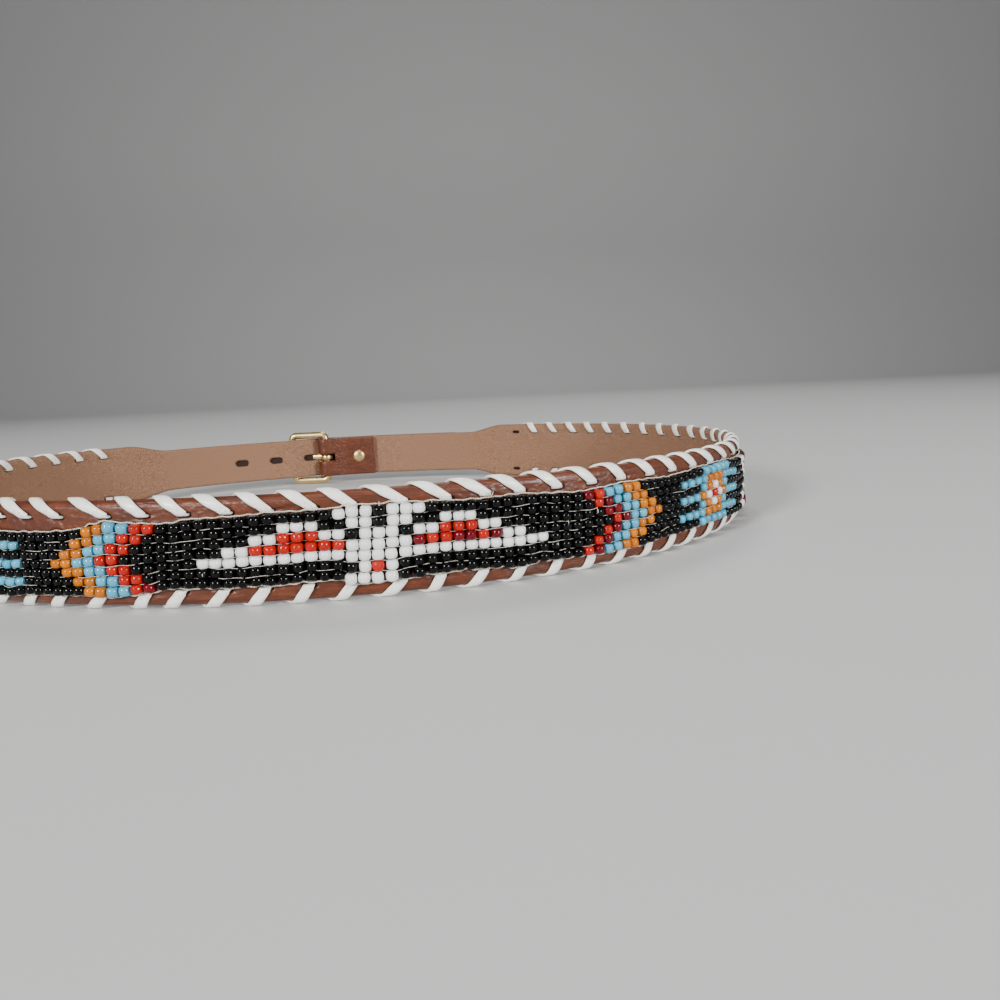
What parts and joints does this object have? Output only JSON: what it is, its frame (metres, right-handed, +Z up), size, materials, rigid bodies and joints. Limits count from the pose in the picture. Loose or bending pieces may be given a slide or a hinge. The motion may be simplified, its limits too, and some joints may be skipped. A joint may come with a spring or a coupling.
{
  "type": "beaded belt",
  "caption": "Narrow leather belt with a front panel of loom-woven seed beads, laced edges and a plain pronged buckle, fastened into a loop.",
  "frame": {"origin": "on the surface that the belt stands on, below the middle of its outer box; the loop's own middle is 0.7 mm in front of it", "axes": "+Z up across the belt, -Y out of the front where the beadwork is, +X to the right of someone who faces the front"},
  "size_m": [0.2676, 0.199, 0.025],
  "materials": {
    "leather": "smooth saddle leather with a polished rolled edge",
    "black_beads": "glossy opaque black seed beads",
    "white_beads": "opaque white seed beads",
    "red_beads": "opaque bright red seed beads",
    "dark_red_beads": "deep red seed beads",
    "blue_beads": "opaque pale blue seed beads",
    "orange_beads": "opaque golden orange seed beads",
    "thread": "waxed cream thread",
    "lacing": "flat ivory plastic lacing",
    "brass": "satin brass"
  },
  "bodies": {
    "root": {"leather_strap": "leather", "beadwork_band": "black_beads", "lace_top": "lacing", "lace_bottom": "lacing", "buckle": "brass", "fold_rivet": "brass"}
  },
  "joints": []
}
